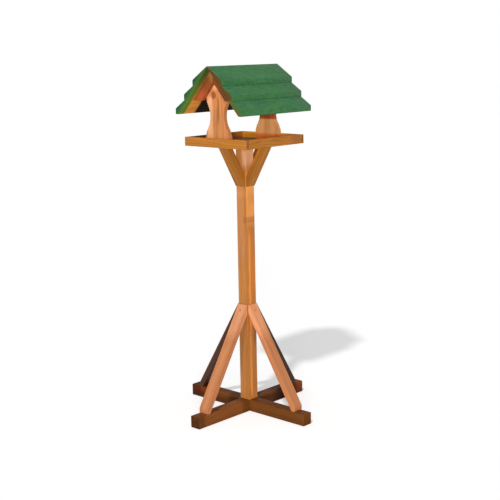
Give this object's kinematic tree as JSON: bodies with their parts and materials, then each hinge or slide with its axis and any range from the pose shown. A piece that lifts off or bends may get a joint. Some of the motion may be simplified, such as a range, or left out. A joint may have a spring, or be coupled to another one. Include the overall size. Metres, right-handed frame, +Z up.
{
  "type": "bird table",
  "caption": "Free-standing wooden bird table: cross base, square post braced at foot and head, rimmed square tray, and a pitched roof of lapped boards on two shaped end boards.",
  "frame": {"origin": "on the ground under the middle of the post, which is also the middle of the base cross", "axes": "+Z up along the post, +Y to the back along the roof's ridge, +X to the right, so that the front end board faces -Y"},
  "size_m": [0.598, 0.598, 1.3432],
  "materials": {
    "post": "clear-stained softwood, satin",
    "beam": "dark weathered softwood, matt",
    "brace": "clear-stained softwood, satin",
    "tray": "golden stained softwood, satin",
    "floor": "stained softwood, matt",
    "support": "orange-brown stained pine with knots, satin",
    "rafter": "stained softwood, matt",
    "roof": "green wood stain, weathered, over softwood, matt",
    "screw": "brown exterior coating on steel, satin"
  },
  "bodies": {
    "root": {"base_beam_front_to_back": "beam", "base_beam_side_to_side": "beam", "lower_brace_back": "brace", "lower_brace_foot_screw_back": "screw", "lower_brace_foot_screw_front": "screw", "lower_brace_foot_screw_left": "screw", "lower_brace_foot_screw_right": "screw", "lower_brace_front": "brace", "lower_brace_left": "brace", "lower_brace_right": "brace", "lower_brace_top_screw_back": "screw", "lower_brace_top_screw_front": "screw", "lower_brace_top_screw_left": "screw", "lower_brace_top_screw_right": "screw", "post": "post", "post_centre_screw": "screw", "rafter_back_left": "rafter", "rafter_back_right": "rafter", "rafter_front_left": "rafter", "rafter_front_right": "rafter", "rim_screw_back_left": "screw", "rim_screw_back_right": "screw", "rim_screw_front_left": "screw", "rim_screw_front_right": "screw", "roof_board_left_bottom": "roof", "roof_board_left_middle": "roof", "roof_board_left_top": "roof", "roof_board_right_bottom": "roof", "roof_board_right_middle": "roof", "roof_board_right_top": "roof", "roof_support_back": "support", "roof_support_front": "support", "support_screw_back_left": "screw", "support_screw_back_right": "screw", "support_screw_front_left": "screw", "support_screw_front_right": "screw", "tray_floor_board_left": "floor", "tray_floor_board_middle": "floor", "tray_floor_board_right": "floor", "tray_rim_back": "tray", "tray_rim_front": "tray", "tray_rim_left": "tray", "tray_rim_right": "tray", "upper_brace_back": "brace", "upper_brace_foot_screw_back": "screw", "upper_brace_foot_screw_front": "screw", "upper_brace_foot_screw_left": "screw", "upper_brace_foot_screw_right": "screw", "upper_brace_front": "brace", "upper_brace_left": "brace", "upper_brace_right": "brace", "upper_brace_top_screw_back": "screw", "upper_brace_top_screw_front": "screw", "upper_brace_top_screw_left": "screw", "upper_brace_top_screw_right": "screw"}
  },
  "joints": []
}
